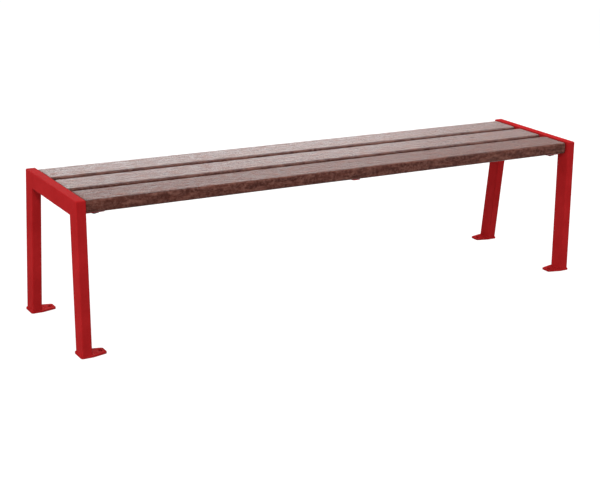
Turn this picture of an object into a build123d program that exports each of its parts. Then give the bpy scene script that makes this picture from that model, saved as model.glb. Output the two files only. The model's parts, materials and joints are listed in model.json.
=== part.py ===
"""Backless street bench: two welded tube end frames carrying three recycled-plastic slats.

Units are millimetres. X runs along the seat, Y from front to back and Z up. The origin is on
the floor, under the middle of the bench.
"""
from build123d import *
import math
import os

# Overall size
bench_length = 1800       # between the outer faces of the two end frames
seat_height = 450         # floor to the top of the end frames
rail_length = 390         # end frame, front to back, at the top
leg_splay = 28            # how far each foot would reach past the rail's end at the floor

# End-frame tube, with its narrow side facing forwards
tube_depth = 50
tube_width = 30
tube_wall = 2.5
tube_edge_radius = 3
frame_corner_radius = 4

# Foot plates, which taper as they reach inwards for an anchor bolt
plate_length = 82
plate_width = 56          # under the leg
plate_end_width = 34      # at the inner end
plate_taper_start = 33    # from the outer face of the leg
plate_thickness = 6
plate_overhang = 4        # past the outer face of the leg
plate_corner_radius = 7
plate_edge_radius = 1
anchor_hole_diameter = 13
anchor_hole_inset = 15    # from the plate's inner end

# Slats
slat_width = 110
slat_gap = 22
slat_thickness = 37
slat_edge_radius = 8
slat_end_radius = 2
slat_drop = 3             # slat tops below the frame tops
slat_end_gap = 4          # room for the slats to grow in the heat

# Brackets under the slat ends, and the strap near mid-span
bracket_width = 69
bracket_length = 340
bracket_thickness = 5
bracket_corner_radius = 10
strap_width = 30
strap_length = 342
strap_thickness = 6
strap_corner_radius = 8
strap_offset = 31         # the strap sits a little to the right of the middle

# Fillet welds
foot_weld_leg = 3
foot_weld_length = 42
bracket_weld_leg = 3
bracket_weld_length = 50
bracket_weld_pitch = 90
bracket_weld_count = 4
weld_bulge = 0.6          # the bead's crown, as a share of its leg; 0.5 would be flat

# Button-head screws driven up into the slats, each with a broad washer
shank_diameter = 8
shank_length = 30         # under the head
shank_tip_chamfer = 2.5
head_diameter = 14
head_height = 4.4
head_dome_radius = 3.6
socket_across_flats = 5
socket_depth = 2.6
clearance_hole_diameter = 9
washer_diameter = 28
washer_thickness = 3
pilot_hole_spare = 4      # past the screw's tip
screw_inset = 40          # from the rail's inner face
screw_spacing = 44        # between the two screws in one slat end

# Worked out from the sizes above
half_length = bench_length / 2
half_rail = rail_length / 2
rail_inner_x = half_length - tube_width
rail_underside = seat_height - tube_depth
leg_lean = math.atan2(leg_splay, seat_height)
slat_underside = seat_height - slat_drop - slat_thickness
slat_length = 2 * (rail_inner_x - slat_end_gap)
slat_pitch = slat_width + slat_gap
slat_centres = {"front": -slat_pitch, "middle": 0, "rear": slat_pitch}
bracket_underside = slat_underside - bracket_thickness
strap_underside = slat_underside - strap_thickness
bracket_screw_x = rail_inner_x - screw_inset
anchor_hole_x = half_length + plate_overhang - plate_length + anchor_hole_inset

sides = {"left": -1, "right": 1}
ends = {"front": -1, "rear": 1}


def leg_edge_y(height, inset=0):
    """Distance from the middle to a leg's outer edge, or to a line that far inside it."""
    return half_rail + leg_splay * (1 - height / seat_height) - inset / math.cos(leg_lean)


foot_centre_y = leg_edge_y(plate_thickness, tube_depth / 2)


def frame_outline(inset, foot):
    """Corners of the inverted U in the YZ plane, its walls moved into the tube by inset."""
    top = seat_height - inset
    under = rail_underside + inset
    depth = tube_depth - inset
    rear_half = [
        (leg_edge_y(top, inset), top),
        (leg_edge_y(foot, inset), foot),
        (leg_edge_y(foot, depth), foot),
        (leg_edge_y(under, depth), under),
    ]
    front_half = [(-y, z) for y, z in reversed(rear_half)]
    return rear_half + front_half


def mitre_plane(end):
    """Plane through a frame corner's outer and inner edges, facing the rail."""
    corner_run = half_rail - leg_edge_y(rail_underside, tube_depth)
    return Plane(
        origin=(0, end * half_rail, seat_height),
        x_dir=(1, 0, 0),
        z_dir=(0, -end * tube_depth, corner_run),
    )


def plate_points(side, foot_y):
    """Corners of a foot plate: straight under the leg, then tapering to its inner end."""
    outer_x = half_length + plate_overhang
    half_widths = [
        (outer_x, plate_width / 2),
        (half_length - plate_taper_start, plate_width / 2),
        (outer_x - plate_length, plate_end_width / 2),
    ]
    rear_edge = [(side * x, foot_y + half_width) for x, half_width in half_widths]
    front_edge = [(side * x, foot_y - half_width) for x, half_width in reversed(half_widths)]
    return rear_edge + front_edge


def bracket_screw_points(side):
    """Screw places in one bracket, two under each slat."""
    return [
        (side * bracket_screw_x, centre + offset)
        for centre in slat_centres.values()
        for offset in (-screw_spacing / 2, screw_spacing / 2)
    ]


strap_screw_points = [(strap_offset, centre) for centre in slat_centres.values()]


def bead_section(weld_leg, across, up):
    """Outline of a fillet weld with its root at (0, 0), closed over a bulging face."""
    crown = weld_leg * weld_bulge
    Polyline((across * weld_leg, 0), (0, 0), (0, up * weld_leg))
    ThreePointArc((0, up * weld_leg), (across * crown, up * crown), (across * weld_leg, 0))


def save(name, part):
    """Label a finished piece and write it under its own name."""
    part.label = name
    export_step(part, f"parts/{name}.step")


os.makedirs("parts", exist_ok=True)

# One screw and one washer, standing on the plane z = 0 that the washer bears against
with BuildPart() as screw:
    with BuildSketch(Plane.XY.offset(-washer_thickness)):
        Circle(head_diameter / 2)
    extrude(amount=-head_height)
    fillet(screw.faces().sort_by(Axis.Z)[0].edges(), head_dome_radius)
    with BuildSketch(Plane.XY.offset(-washer_thickness - head_height)):
        RegularPolygon(socket_across_flats / 2, 6, major_radius=False)
    extrude(amount=socket_depth, mode=Mode.SUBTRACT)
    with BuildSketch(Plane.XY.offset(-washer_thickness)):
        Circle(shank_diameter / 2)
    extrude(amount=shank_length)
    chamfer(screw.faces().sort_by(Axis.Z)[-1].edges(), shank_tip_chamfer)

with BuildPart() as washer:
    with BuildSketch():
        Circle(washer_diameter / 2)
        Circle(clearance_hole_diameter / 2, mode=Mode.SUBTRACT)
    extrude(amount=-washer_thickness)

for side_name, side in sides.items():
    outer_x = side * half_length
    inner_x = side * rail_inner_x

    # The whole inverted U, which the mitres then divide into its three tubes
    with BuildPart() as frame_tube:
        with BuildSketch(Plane.YZ.offset(min(outer_x, inner_x))):
            with BuildLine():
                Polyline(*frame_outline(0, plate_thickness), close=True)
            make_face()
        extrude(amount=tube_width)
        corner_edges = frame_tube.edges().filter_by(Axis.X).group_by(Axis.Z)[-1]
        fillet(corner_edges, frame_corner_radius)
        long_edges = frame_tube.edges().filter_by(Axis.X, reverse=True).group_by(Axis.Z)[1:]
        fillet([edge for group in long_edges for edge in group], tube_edge_radius)
        with BuildSketch(Plane.YZ.offset(min(outer_x, inner_x) + tube_wall)):
            with BuildLine():
                Polyline(*frame_outline(tube_wall, 0), close=True)
            make_face()
        extrude(amount=tube_width - 2 * tube_wall, mode=Mode.SUBTRACT)

    with BuildPart() as top_rail:
        add(frame_tube.part)
        split(bisect_by=mitre_plane(ends["front"]), keep=Keep.TOP)
        split(bisect_by=mitre_plane(ends["rear"]), keep=Keep.TOP)
    save(f"{side_name}_top_rail", top_rail.part)

    for end_name, end in ends.items():
        foot_y = end * foot_centre_y

        with BuildPart() as leg:
            add(frame_tube.part)
            split(bisect_by=Plane(origin=(0, 0, 0), z_dir=(0, end, 0)), keep=Keep.TOP)
            split(bisect_by=mitre_plane(end), keep=Keep.BOTTOM)
        save(f"{side_name}_{end_name}_leg", leg.part)

        with BuildPart() as foot_plate:
            with BuildSketch() as plate_outline:
                with BuildLine():
                    Polyline(*plate_points(side, foot_y), close=True)
                make_face()
                end_corners = plate_outline.vertices().group_by(Axis.X)
                fillet(end_corners[0] + end_corners[-1], plate_corner_radius)
                with Locations((side * anchor_hole_x, foot_y)):
                    Circle(anchor_hole_diameter / 2, mode=Mode.SUBTRACT)
            extrude(amount=plate_thickness)
            rim = foot_plate.faces().sort_by(Axis.Z)[-1].outer_wire().edges()
            fillet(rim, plate_edge_radius)
        save(f"{side_name}_{end_name}_foot_plate", foot_plate.part)

        # A bead down each side of the leg, on the plate's outer margin and on its inner tab
        with BuildPart() as foot_welds:
            for root_x, away in ((outer_x, side), (inner_x, -side)):
                root = Plane(
                    origin=(root_x, foot_y - foot_weld_length / 2, plate_thickness),
                    x_dir=(1, 0, 0),
                    z_dir=(0, 1, 0),
                )
                with BuildSketch(root):
                    with BuildLine():
                        bead_section(foot_weld_leg, away, -1)
                    make_face()
                extrude(amount=foot_weld_length)
        save(f"{side_name}_{end_name}_foot_welds", foot_welds.part)

    # The bracket is a flat plate, its outer edge against the rail's inner face
    with BuildPart() as bracket:
        with BuildSketch(Plane.XY.offset(bracket_underside)) as bracket_outline:
            with Locations((side * (rail_inner_x - bracket_width / 2), 0)):
                Rectangle(bracket_width, bracket_length)
            free_corners = bracket_outline.vertices().group_by(Axis.X)[::side][0]
            fillet(free_corners, bracket_corner_radius)
            with Locations(*bracket_screw_points(side)):
                Circle(clearance_hole_diameter / 2, mode=Mode.SUBTRACT)
        extrude(amount=bracket_thickness)
    save(f"{side_name}_slat_bracket", bracket.part)

    # Short beads along the bracket's outer edge, above and below it
    with BuildPart() as bracket_welds:
        for root_z, up in ((slat_underside, 1), (bracket_underside, -1)):
            root = Plane(
                origin=(inner_x, -bracket_weld_length / 2, root_z),
                x_dir=(1, 0, 0),
                z_dir=(0, 1, 0),
            )
            run = (bracket_weld_count - 1) * bracket_weld_pitch
            for step in range(bracket_weld_count):
                offset = step * bracket_weld_pitch - run / 2
                with BuildSketch(root.offset(offset)):
                    with BuildLine():
                        bead_section(bracket_weld_leg, -side, -up)
                    make_face()
                extrude(amount=bracket_weld_length)
    save(f"{side_name}_bracket_welds", bracket_welds.part)

    with BuildPart() as bracket_screws:
        with Locations(*[(x, y, bracket_underside) for x, y in bracket_screw_points(side)]):
            add(screw.part)
    save(f"{side_name}_slat_screws", bracket_screws.part)

    with BuildPart() as bracket_washers:
        with Locations(*[(x, y, bracket_underside) for x, y in bracket_screw_points(side)]):
            add(washer.part)
    save(f"{side_name}_slat_washers", bracket_washers.part)

# The strap that keeps the slats level with each other
with BuildPart() as strap:
    with BuildSketch(Plane.XY.offset(strap_underside)) as strap_outline:
        with Locations((strap_offset, 0)):
            Rectangle(strap_width, strap_length)
        fillet(strap_outline.vertices(), strap_corner_radius)
        with Locations(*strap_screw_points):
            Circle(clearance_hole_diameter / 2, mode=Mode.SUBTRACT)
    extrude(amount=strap_thickness)
save("centre_strap", strap.part)

with BuildPart() as strap_screws:
    with Locations(*[(x, y, strap_underside) for x, y in strap_screw_points]):
        add(screw.part)
save("centre_strap_screws", strap_screws.part)

with BuildPart() as strap_washers:
    with Locations(*[(x, y, strap_underside) for x, y in strap_screw_points]):
        add(washer.part)
save("centre_strap_washers", strap_washers.part)

# Slats, with blind pilot holes for the screws that come up through brackets and strap
pilot_top = bracket_underside - washer_thickness + shank_length + pilot_hole_spare
pilot_points = bracket_screw_points(-1) + bracket_screw_points(1) + strap_screw_points

for slat_name, centre_y in slat_centres.items():
    slat_pilots = [(x, y) for x, y in pilot_points if abs(y - centre_y) < slat_width / 2]
    with BuildPart() as slat:
        with BuildSketch(Plane.YZ.offset(-slat_length / 2)):
            with Locations((centre_y, slat_underside + slat_thickness / 2)):
                RectangleRounded(slat_width, slat_thickness, slat_edge_radius)
        extrude(amount=slat_length)
        end_faces = slat.faces().sort_by(Axis.X)
        fillet(end_faces[0].edges() + end_faces[-1].edges(), slat_end_radius)
        with BuildSketch(Plane.XY.offset(slat_underside)):
            with Locations(*slat_pilots):
                Circle(shank_diameter / 2)
        extrude(amount=pilot_top - slat_underside, mode=Mode.SUBTRACT)
    save(f"{slat_name}_slat", slat.part)
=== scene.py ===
"""Looks of the backless bench: finishes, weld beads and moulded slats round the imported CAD."""
import json
import math

import bpy
from mathutils import Matrix, Vector, noise


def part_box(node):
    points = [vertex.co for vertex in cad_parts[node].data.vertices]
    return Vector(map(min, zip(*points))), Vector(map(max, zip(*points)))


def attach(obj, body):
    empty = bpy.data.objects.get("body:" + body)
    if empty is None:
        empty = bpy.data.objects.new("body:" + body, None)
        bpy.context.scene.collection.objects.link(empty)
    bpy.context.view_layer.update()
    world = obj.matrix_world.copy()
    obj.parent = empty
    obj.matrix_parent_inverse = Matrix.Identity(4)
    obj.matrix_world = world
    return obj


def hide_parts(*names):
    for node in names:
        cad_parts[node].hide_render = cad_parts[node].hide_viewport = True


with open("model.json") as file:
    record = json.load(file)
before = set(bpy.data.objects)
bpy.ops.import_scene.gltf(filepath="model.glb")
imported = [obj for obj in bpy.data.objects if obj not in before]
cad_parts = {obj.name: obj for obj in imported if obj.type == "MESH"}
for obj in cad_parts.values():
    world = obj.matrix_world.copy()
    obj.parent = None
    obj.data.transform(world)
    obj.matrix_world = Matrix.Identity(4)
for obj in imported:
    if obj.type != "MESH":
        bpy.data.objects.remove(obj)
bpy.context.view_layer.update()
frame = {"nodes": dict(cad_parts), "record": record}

MM = 0.001

# Camera, in the frame's metres and degrees
CAMERA_PLACE = (-2.1592, -3.3842, 1.4398)
CAMERA_YAW = 31.854       # from +Y towards +X
CAMERA_PITCH = -19.128
CAMERA_ROLL = 2.155
CAMERA_LENS = 77.96       # on a 36 mm sensor
CAMERA_RISE = 0.0582      # vertical shift, as a share of the picture's width

# Light
SKY_LEVEL = 0.35          # what lights the object; the background itself is at 1, which is white
FLOOR_GREY = 0.40         # how much of its light the floor sends back up to the object
FLOOR_GLOW = 0.70         # share of the floor that is plain white whatever falls on it
FLOOR_WHITE = 1.40        # strength of that share, enough to make the whole floor white with the rest
SOFTBOXES = {             # name: (place, width, height, level), where level 1 looks white
    "key": ((-2.1, -2.4, 2.8), 0.5, 0.5, 66.0),
    "left": ((-4.4, -0.75, 0.9), 2.6, 1.6, 5.6),
    "right": ((2.6, 0.5, 3.0), 2.0, 2.0, 6.6),
    "fill": ((2.4, -2.6, 0.9), 1.6, 1.2, 5.0),
    "top": ((0.9, 1.3, 4.6), 3.0, 3.0, 1.7),
    "back": ((0.3, 2.9, 1.5), 4.4, 1.7, 2.9),
}
SOFTBOX_AIM = (0.0, 0.0, 0.35)

# Red powder coat; all colours are linear red, green and blue
COAT_DEEP = (0.335, 0.0105, 0.0117)
COAT_BRIGHT = (0.408, 0.0150, 0.0166)
COAT_SPECK = (0.460, 0.0180, 0.0200)
COAT_SPECK_SHARE = 0.16
COAT_THIN = (0.520, 0.0240, 0.0240)
COAT_THIN_SHARE = 0.40
COAT_THIN_REACH = 1.6 * MM    # how far the coat runs thin on either side of an edge
COAT_WAVE_DEPTH = 0.30 * MM
COAT_PEEL_DEPTH = 0.20 * MM
COAT_ROUGHNESS = (0.36, 0.48)
COAT_GLAZE = 0.025            # weight of the clear layer that gives the satin shine
COAT_GLAZE_ROUGHNESS = 0.22

# Recycled plastic
PLASTIC_DARK = (0.050, 0.0115, 0.0075)
PLASTIC_BROWN = (0.118, 0.0350, 0.0235)
PLASTIC_PALE = (0.260, 0.1150, 0.0880)
PLASTIC_BLOOM = (1.0, 0.93, 0.91)
PLASTIC_BLOOM_ROUGHNESS = 0.30
PLASTIC_GRAIN = {         # name: (cells per metre along the slat, across it, detail, roughness, distortion)
    "streak": (4.0, 70.0, 8.0, 0.68, 0.15),
    "hair": (30.0, 600.0, 4.0, 0.60, 0.0),
    "smear": (14.0, 30.0, 5.0, 0.62, 0.0),
    "smudge_and_sheen": (26.0, 85.0, 3.0, 0.60, 0.0),
    "fleck": (105.0, 125.0, 5.0, 0.72, 0.0),
}
PLASTIC_TINTS = (         # (grain, value where the tint starts, where it is full, how full, colour)
    ("smear", 0.56, 0.40, 0.55, PLASTIC_DARK),
    ("smudge_and_sheen", 0.58, 0.38, 0.55, PLASTIC_DARK),
    # the pale smudge patches are painted sheen, standing in for patchy reflection on the slat tops
    ("smudge_and_sheen", 0.50, 0.66, 0.42, PLASTIC_PALE),
    ("fleck", 0.47, 0.72, 0.60, PLASTIC_PALE),
    ("hair", 0.55, 0.75, 0.35, PLASTIC_PALE),
)
PLASTIC_ROUGHENING = (    # (grain, lowest value, highest value, how much roughness it takes off and adds)
    ("streak", 0.30, 0.70, 0.06),
    ("smudge_and_sheen", 0.36, 0.64, 0.16),
    ("fleck", 0.30, 0.70, 0.12),
)
PLASTIC_RELIEF = {        # grain: depth
    "streak": 1.3 * MM,
    "smudge_and_sheen": 3.2 * MM,
    "hair": 0.12 * MM,
    "fleck": 2.4 * MM,
}

# Black zinc plating
ZINC_DARK = (0.050, 0.050, 0.055)
ZINC_BRIGHT = (0.085, 0.085, 0.090)
ZINC_ROUGHNESS = (0.28, 0.46)
ZINC_SPANGLE_DEPTH = 0.02 * MM

# Slats
SLAT_EDGE_RADIUS = 8 * MM
SLAT_END_RADIUS = 2 * MM
SLAT_STEPS_ACROSS = 60    # mesh steps over the flat of the top and of the underside
SLAT_STEPS_UPRIGHT = 14   # over the flat of the front and of the rear
SLAT_STEPS_EDGE = 6       # round each long edge
SLAT_STEPS_ALONG = 240    # between the rounded ends
SLAT_STEPS_END = 4        # round each end
SKIN_DEPTH = 0.30 * MM    # how far the moulded skin lies inside the nominal face on average
SKIN_RELIEF = (           # (depth, cells per metre along, cells per metre across, which way its seed goes)
    (0.22 * MM, 3.0, 9.0, 1),       # slow waves left by the mould
    (0.16 * MM, 9.0, 260.0, 1),     # lengthwise grooves
    (0.12 * MM, 60.0, 130.0, -1),   # pits
)
SLAT_SEED_STEP = 5.0              # takes each slat's relief from a place of its own
SLAT_SHIFT = (1.7, 0.37, 0.0)     # and its grain too
SLAT_FINISH_AND_SHEEN = {         # each slat's gloss, roughness and dry bloom; their rise from the front slat to the rear one is painted sheen, standing in for the light falling more on the rear slat's top
    "front_slat": (0.06, 0.44, 0.28),
    "middle_slat": (0.19, 0.43, 0.36),
    "rear_slat": (0.24, 0.42, 0.42),
}

# Weld beads
BRACKET_WELD_PITCH = 90 * MM
BRACKET_WELD_COUNT = 4
RIPPLE_PITCH = 1.6 * MM
RIPPLE_STEPS = 5          # mesh steps in one ripple
RIPPLE_BOW = 0.35         # how far a ripple's middle runs ahead of its sides, as a share of the pitch
BEAD_STEPS = 6            # mesh steps over the face of a bead
BEAD_SIZE = 0.90          # of the leg that the box allows, between ripples
BEAD_RIPPLE = 0.06        # how much each ripple adds to that
BEAD_WANDER = 0.05        # how much the hand's unsteadiness adds or takes away
WANDER_RATE = 120.0       # waves of it in a metre
BEAD_END = 0.35           # size at the very ends, where the bead starts and stops
BEAD_END_REACH = 1.5      # legs from each end to where the bead is at full size
BEAD_HOLLOW = 0.18        # how far the face's middle lies inside an arc of the leg's radius
BEAD_SIDE_HOLLOW = 0.12   # how much the sides of the face are flattened beyond that


# ---------------------------------------------------------------- node helpers

class Nodes:
    """Builds one material's nodes, each call returning the output socket that matters."""

    def __init__(self, name):
        self.material = bpy.data.materials.new(name)
        self.material.use_nodes = True
        self.tree = self.material.node_tree
        self.shader = self.tree.nodes["Principled BSDF"]
        self.place = self.tree.nodes.new("ShaderNodeTexCoord").outputs["Object"]

    def put(self, socket, value):
        """Link a socket to an output, or set it to a plain value."""
        if isinstance(value, bpy.types.NodeSocket):
            self.tree.links.new(value, socket)
        else:
            socket.default_value = value

    def stretched(self, scale, shift):
        node = self.tree.nodes.new("ShaderNodeMapping")
        self.put(node.inputs["Vector"], self.place)
        node.inputs["Scale"].default_value = scale
        node.inputs["Location"].default_value = shift
        return node.outputs["Vector"]

    def noise(self, vector, scale, detail=4.0, roughness=0.55, distortion=0.0):
        node = self.tree.nodes.new("ShaderNodeTexNoise")
        self.put(node.inputs["Vector"], vector)
        node.inputs["Scale"].default_value = scale
        node.inputs["Detail"].default_value = detail
        node.inputs["Roughness"].default_value = roughness
        node.inputs["Distortion"].default_value = distortion
        return node.outputs["Fac"]

    def cells(self, vector, scale):
        node = self.tree.nodes.new("ShaderNodeTexVoronoi")
        self.put(node.inputs["Vector"], vector)
        node.inputs["Scale"].default_value = scale
        return node.outputs["Distance"]

    def remap(self, value, low, high, to_low=0.0, to_high=1.0):
        node = self.tree.nodes.new("ShaderNodeMapRange")
        self.put(node.inputs["Value"], value)
        node.inputs["From Min"].default_value = low
        node.inputs["From Max"].default_value = high
        node.inputs["To Min"].default_value = to_low
        node.inputs["To Max"].default_value = to_high
        return node.outputs["Result"]

    def math(self, operation, a, b):
        node = self.tree.nodes.new("ShaderNodeMath")
        node.operation = operation
        self.put(node.inputs[0], a)
        self.put(node.inputs[1], b)
        return node.outputs["Value"]

    def blend(self, amount, first, second):
        """Mix two colours."""
        node = self.tree.nodes.new("ShaderNodeMix")
        node.data_type = "RGBA"
        self.put(node.inputs["Factor"], amount)
        self.put(node.inputs[6], first)
        self.put(node.inputs[7], second)
        return node.outputs[2]

    def edges(self, radius):
        """1 on sharp outer edges, fading to 0 a radius away."""
        bevel = self.tree.nodes.new("ShaderNodeBevel")
        bevel.samples = 4
        bevel.inputs["Radius"].default_value = radius
        geometry = self.tree.nodes.new("ShaderNodeNewGeometry")
        dot = self.tree.nodes.new("ShaderNodeVectorMath")
        dot.operation = "DOT_PRODUCT"
        self.put(dot.inputs[0], bevel.outputs["Normal"])
        self.put(dot.inputs[1], geometry.outputs["Normal"])
        return self.remap(dot.outputs["Value"], 0.98, 0.80)

    def bump(self, height, depth, under=None):
        node = self.tree.nodes.new("ShaderNodeBump")
        node.inputs["Strength"].default_value = 1.0
        node.inputs["Distance"].default_value = depth
        self.put(node.inputs["Height"], height)
        if under is not None:
            self.put(node.inputs["Normal"], under)
        return node.outputs["Normal"]

    def finish(self, **inputs):
        for label, value in inputs.items():
            self.put(self.shader.inputs[label.replace("_", " ").title()], value)
        return self.material


def colour(levels):
    """A colour socket's value, with full alpha."""
    return (*levels, 1.0)


def grey(level):
    return (level, level, level, 1.0)


# ---------------------------------------------------------------- materials

def powder_coat():
    """Satin red polyester powder coat: faint orange peel, slight cloudiness, thin at the edges."""
    n = Nodes("red_powder_coat")
    cloud = n.remap(n.noise(n.place, 13.0, 6.0, 0.65), 0.32, 0.68)
    speck = n.remap(n.noise(n.place, 900.0, 2.0), 0.35, 0.65)
    thin = n.edges(COAT_THIN_REACH)
    body = n.blend(cloud, colour(COAT_DEEP), colour(COAT_BRIGHT))
    body = n.blend(n.math("MULTIPLY", speck, COAT_SPECK_SHARE), body, colour(COAT_SPECK))
    body = n.blend(n.math("MULTIPLY", thin, COAT_THIN_SHARE), body, colour(COAT_THIN))
    surface = n.bump(n.noise(n.place, 60.0, 2.0), COAT_WAVE_DEPTH)
    surface = n.bump(n.noise(n.place, 420.0, 3.0, 0.5), COAT_PEEL_DEPTH, surface)
    rough = n.remap(n.noise(n.place, 35.0, 5.0, 0.6), 0.3, 0.7, *COAT_ROUGHNESS)
    n.shader.inputs["Specular IOR Level"].default_value = 0.0
    n.shader.inputs["Coat Weight"].default_value = COAT_GLAZE
    n.shader.inputs["Coat Roughness"].default_value = COAT_GLAZE_ROUGHNESS
    return n.finish(base_color=body, roughness=rough, normal=surface)


def recycled_plastic(name, shift, gloss, rough_level, bloom):
    """Brown moulded plastic lumber: lengthwise grain, paler flecks, darker smears, pale patches of painted
    sheen and a dry bloom.
    """
    n = Nodes(name)
    grain = {}
    for label, (along, across, detail, roughness, distortion) in PLASTIC_GRAIN.items():
        vector = n.stretched((along, across, across), shift)
        grain[label] = n.noise(vector, 1.0, detail, roughness, distortion)
    body = n.blend(n.remap(grain["streak"], 0.34, 0.60), colour(PLASTIC_DARK), colour(PLASTIC_BROWN))
    for label, start, full, share, tint in PLASTIC_TINTS:
        body = n.blend(n.remap(grain[label], start, full, 0.0, share), body, colour(tint))
    rough = rough_level
    for label, low, high, swing in PLASTIC_ROUGHENING:
        rough = n.math("ADD", n.remap(grain[label], low, high, -swing, swing), rough)
    surface = None
    for label, depth in PLASTIC_RELIEF.items():
        surface = n.bump(grain[label], depth, surface)
    n.shader.inputs["Specular IOR Level"].default_value = gloss
    n.shader.inputs["Sheen Weight"].default_value = bloom
    n.shader.inputs["Sheen Roughness"].default_value = PLASTIC_BLOOM_ROUGHNESS
    n.shader.inputs["Sheen Tint"].default_value = colour(PLASTIC_BLOOM)
    return n.finish(base_color=body, roughness=rough, normal=surface)


def black_zinc_steel():
    """Black zinc plating with a fine spangle."""
    n = Nodes("black_zinc_steel")
    spangle = n.cells(n.place, 700.0)
    tint = n.blend(n.remap(spangle, 0.1, 0.7), colour(ZINC_DARK), colour(ZINC_BRIGHT))
    rough = n.remap(n.noise(n.place, 500.0, 3.0), 0.3, 0.7, *ZINC_ROUGHNESS)
    n.shader.inputs["Metallic"].default_value = 1.0
    return n.finish(base_color=tint, roughness=rough, normal=n.bump(spangle, ZINC_SPANGLE_DEPTH))


def background_share(tree):
    """1 for rays that see the background: straight, mirrored or through glass."""
    path = tree.nodes.new("ShaderNodeLightPath")
    total = path.outputs["Is Camera Ray"]
    for label in ("Is Glossy Ray", "Is Transmission Ray"):
        add = tree.nodes.new("ShaderNodeMath")
        add.operation = "MAXIMUM"
        tree.links.new(total, add.inputs[0])
        tree.links.new(path.outputs[label], add.inputs[1])
        total = add.outputs["Value"]
    return total


def floor_material():
    """Pale floor that looks plain white from the camera but lights the object like a grey one."""
    material = bpy.data.materials.new("pale_floor")
    material.use_nodes = True
    tree = material.node_tree
    tree.nodes.clear()
    matt = tree.nodes.new("ShaderNodeBsdfDiffuse")
    matt.inputs["Color"].default_value = grey(FLOOR_GREY)
    glow = tree.nodes.new("ShaderNodeEmission")
    glow.inputs["Color"].default_value = grey(1.0)
    glow.inputs["Strength"].default_value = FLOOR_WHITE
    share = tree.nodes.new("ShaderNodeMath")
    share.operation = "MULTIPLY"
    share.inputs[1].default_value = FLOOR_GLOW
    tree.links.new(background_share(tree), share.inputs[0])
    mix = tree.nodes.new("ShaderNodeMixShader")
    tree.links.new(share.outputs["Value"], mix.inputs["Fac"])
    tree.links.new(matt.outputs["BSDF"], mix.inputs[1])
    tree.links.new(glow.outputs["Emission"], mix.inputs[2])
    output = tree.nodes.new("ShaderNodeOutputMaterial")
    tree.links.new(mix.outputs["Shader"], output.inputs["Surface"])
    return material


# ---------------------------------------------------------------- geometry

def new_piece(name, points, faces, material):
    """A smooth-shaded mesh piece that belongs to the bench."""
    mesh = bpy.data.meshes.new(name)
    mesh.from_pydata(points, [], faces)
    mesh.update()
    mesh.polygons.foreach_set("use_smooth", [True] * len(mesh.polygons))
    mesh.materials.append(material)
    piece = bpy.data.objects.new(name, mesh)
    bpy.context.scene.collection.objects.link(piece)
    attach(piece, "root")
    return piece


def steps(count):
    """Fractions from 0 up to but not including 1."""
    return [i / count for i in range(count)]


def loft(base, rings, ring, flip=False):
    """Faces of a closed solid through equal rings of points, the first of them numbered base."""
    faces = []
    for k in range(rings - 1):
        here = base + k * ring
        ahead = here + ring
        for i in range(ring):
            j = (i + 1) % ring
            faces.append((here + i, here + j, ahead + j, ahead + i))
    last = base + (rings - 1) * ring
    faces.append(tuple(range(base, base + ring))[::-1])
    faces.append(tuple(range(last, last + ring)))
    return [face[::-1] for face in faces] if flip else faces


def slat_section(width, height, radius):
    """Points and outward directions round a rounded rectangle, centred on (0, 0)."""
    half_w, half_h = width / 2 - radius, height / 2 - radius
    runs = [
        ((half_w, half_h), (-half_w, half_h), (0, 1), SLAT_STEPS_ACROSS),
        ((-half_w, half_h), (-half_w, -half_h), (-1, 0), SLAT_STEPS_UPRIGHT),
        ((-half_w, -half_h), (half_w, -half_h), (0, -1), SLAT_STEPS_ACROSS),
        ((half_w, -half_h), (half_w, half_h), (1, 0), SLAT_STEPS_UPRIGHT),
    ]
    section = []
    for index, (start, end, out, count) in enumerate(runs):
        for t in steps(count):
            y = start[0] + (end[0] - start[0]) * t + out[0] * radius
            z = start[1] + (end[1] - start[1]) * t + out[1] * radius
            section.append((y, z, out[0], out[1]))
        for t in steps(SLAT_STEPS_EDGE):
            angle = math.radians(90 + 90 * index + 90 * t)
            out_y, out_z = math.cos(angle), math.sin(angle)
            section.append((end[0] + out_y * radius, end[1] + out_z * radius, out_y, out_z))
    return section


def slat_stations(length, radius):
    """Distances along the slat with the inset of the section there, rounding both ends."""
    start = []
    for t in steps(SLAT_STEPS_END):
        angle = math.radians(90 * t)
        start.append((radius * (1 - math.cos(angle)), radius * (1 - math.sin(angle))))
    middle = [(radius + (length - 2 * radius) * t, 0.0) for t in steps(SLAT_STEPS_ALONG)]
    end = [(length - x, inset) for x, inset in start[::-1]]
    return start + middle + [(length - radius, 0.0)] + end


def hollow(x, y, z, seed):
    """How far the moulded skin lies inside its nominal face, in metres."""
    depth = SKIN_DEPTH
    for reach, along, across, way in SKIN_RELIEF:
        depth += reach * noise.noise(Vector((x * along, y * across, z * across + way * seed)))
    return depth


def make_slat(name, seed, material):
    """The moulded slat that stands in for the plain one, inside the same box."""
    low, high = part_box(name)
    length = high.x - low.x
    centre_y, centre_z = (low.y + high.y) / 2, (low.z + high.z) / 2
    section = slat_section(high.y - low.y, high.z - low.z, SLAT_EDGE_RADIUS)
    stations = slat_stations(length, SLAT_END_RADIUS)
    points = []
    for along, inset in stations:
        x = low.x + along
        for y, z, out_y, out_z in section:
            depth = hollow(x, y + centre_y, z, seed) + inset
            points.append((x, centre_y + y - out_y * depth, centre_z + z - out_z * depth))
    faces = loft(0, len(stations), len(section))
    piece = new_piece(name + "_moulded", points, faces, material)
    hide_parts(name)


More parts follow.
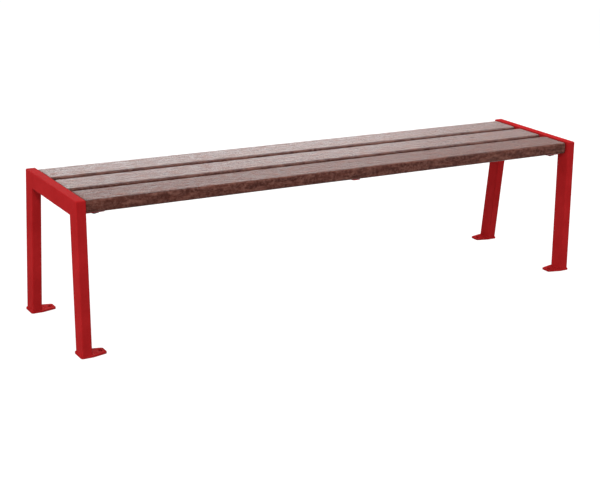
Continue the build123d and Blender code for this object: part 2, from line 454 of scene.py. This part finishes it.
def bead_points(root, across, up, leg, length, seed):
    """One rippled fillet bead along +Y from root, with its legs towards across and up."""
    count = round(length / (RIPPLE_PITCH / RIPPLE_STEPS))
    rows = []
    for k in range(count + 1):
        y = length * k / count
        taper = min(1.0, BEAD_END + min(y, length - y) / (BEAD_END_REACH * leg))
        phase = (y / RIPPLE_PITCH) % 1.0
        wander = 1 + BEAD_WANDER * noise.noise(Vector((y * WANDER_RATE, seed, 0.0)))
        size = leg * taper * (BEAD_SIZE + BEAD_RIPPLE * (1 - phase) ** 2) * wander
        row = []
        for i in range(BEAD_STEPS + 1):
            angle = math.radians(90 * i / BEAD_STEPS)
            middle = math.sin(2 * angle)
            reach = size * (1 - (BEAD_HOLLOW + BEAD_SIDE_HOLLOW * (1 - middle)) * middle)
            bow = RIPPLE_BOW * RIPPLE_PITCH * middle if taper > 0.99 else 0.0
            row.append((
                root[0] + across * reach * math.cos(angle),
                root[1] + min(length, y + bow),
                root[2] + up * reach * math.sin(angle),
            ))
        row.append((root[0], root[1] + y, root[2]))
        rows.append(row)
    return rows


def make_beads(name, beads, material):
    """One piece holding all the beads of a weld node."""
    points, faces = [], []
    for root, across, up, leg, length in beads:
        base = len(points)
        rows = bead_points(root, across, up, leg, length, base)
        for row in rows:
            points.extend(row)
        faces.extend(loft(base, len(rows), len(rows[0]), flip=across * up > 0))
    piece = new_piece(name + "_beads", points, faces, material)
    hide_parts(name)


def foot_beads(name):
    """The two beads of one foot, read from the box that holds both."""
    low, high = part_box(name)
    leg = high.z - low.z
    length = high.y - low.y
    return [
        ((low.x + leg, low.y, low.z), -1, 1, leg, length),
        ((high.x - leg, low.y, low.z), 1, 1, leg, length),
    ]


def bracket_beads(name):
    """The stitched beads above and below one bracket."""
    low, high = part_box(name)
    leg = high.x - low.x
    inward = 1 if high.x < 0 else -1
    root_x = low.x if inward > 0 else high.x
    length = high.y - low.y - (BRACKET_WELD_COUNT - 1) * BRACKET_WELD_PITCH
    beads = []
    for k in range(BRACKET_WELD_COUNT):
        y = low.y + k * BRACKET_WELD_PITCH
        beads.append(((root_x, y, high.z - leg), inward, 1, leg, length))
        beads.append(((root_x, y, low.z + leg), inward, -1, leg, length))
    return beads


# ---------------------------------------------------------------- setting

def make_floor():
    half = 30.0
    corners = [(-half, -half, 0), (half, -half, 0), (half, half, 0), (-half, half, 0)]
    mesh = bpy.data.meshes.new("floor")
    mesh.from_pydata(corners, [], [(0, 1, 2, 3)])
    mesh.materials.append(floor_material())
    floor = bpy.data.objects.new("floor", mesh)
    bpy.context.scene.collection.objects.link(floor)


def make_world():
    """Even white light all round, dimmer on the object than the background looks."""
    world = bpy.data.worlds.new("studio")
    bpy.context.scene.world = world
    world.use_nodes = True
    tree = world.node_tree
    background = tree.nodes["Background"]
    background.inputs["Color"].default_value = grey(1.0)
    level = tree.nodes.new("ShaderNodeMapRange")
    tree.links.new(background_share(tree), level.inputs["Value"])
    level.inputs["To Min"].default_value = SKY_LEVEL
    level.inputs["To Max"].default_value = 1.0
    tree.links.new(level.outputs["Result"], background.inputs["Strength"])


def make_softbox(name, place, width, height, level):
    """A rectangular lamp aimed at the bench and itself out of sight."""
    data = bpy.data.lights.new(name + "_softbox", "AREA")
    data.shape = "RECTANGLE"
    data.size = width
    data.size_y = height
    data.energy = level * math.pi * width * height
    lamp = bpy.data.objects.new(name + "_softbox", data)
    bpy.context.scene.collection.objects.link(lamp)
    lamp.location = place
    lamp.rotation_euler = (Vector(SOFTBOX_AIM) - Vector(place)).to_track_quat("-Z", "Y").to_euler()
    lamp.visible_camera = False


def make_camera():
    data = bpy.data.cameras.new("camera")
    data.sensor_width = 36.0
    data.lens = CAMERA_LENS
    data.shift_y = CAMERA_RISE
    data.clip_end = 200.0
    camera = bpy.data.objects.new("camera", data)
    bpy.context.scene.collection.objects.link(camera)
    turn = (
        Matrix.Rotation(math.radians(-CAMERA_YAW), 4, "Z")
        @ Matrix.Rotation(math.radians(90 + CAMERA_PITCH), 4, "X")
        @ Matrix.Rotation(math.radians(CAMERA_ROLL), 4, "Z")
    )
    camera.matrix_world = Matrix.Translation(CAMERA_PLACE) @ turn
    bpy.context.scene.camera = camera


# ---------------------------------------------------------------- assembly

make_camera()
make_world()
make_floor()
for lamp_name, (place, width, height, level) in SOFTBOXES.items():
    make_softbox(lamp_name, place, width, height, level)

coat = powder_coat()
finishes = {"red_powder_coat": coat, "black_zinc_steel": black_zinc_steel()}

for entry in frame["record"]["subparts"]:
    node_name, slot_name = entry["node"], entry["material_slot"]
    if slot_name in finishes:
        for held in frame["nodes"][node_name].material_slots:
            held.material = finishes[slot_name]

# each slat gets its own copy of the plastic, with more painted sheen towards the rear
for index, (slat_name, (gloss, rough_level, bloom)) in enumerate(SLAT_FINISH_AND_SHEEN.items()):
    shift = tuple(index * step for step in SLAT_SHIFT)
    plastic = recycled_plastic(slat_name + "_plastic", shift, gloss, rough_level, bloom)
    make_slat(slat_name, SLAT_SEED_STEP * index, plastic)

for side in ("left", "right"):
    for end in ("front", "rear"):
        weld = f"{side}_{end}_foot_welds"
        make_beads(weld, foot_beads(weld), coat)
    weld = f"{side}_bracket_welds"
    make_beads(weld, bracket_beads(weld), coat)

bpy.context.scene.view_settings.view_transform = "Standard"
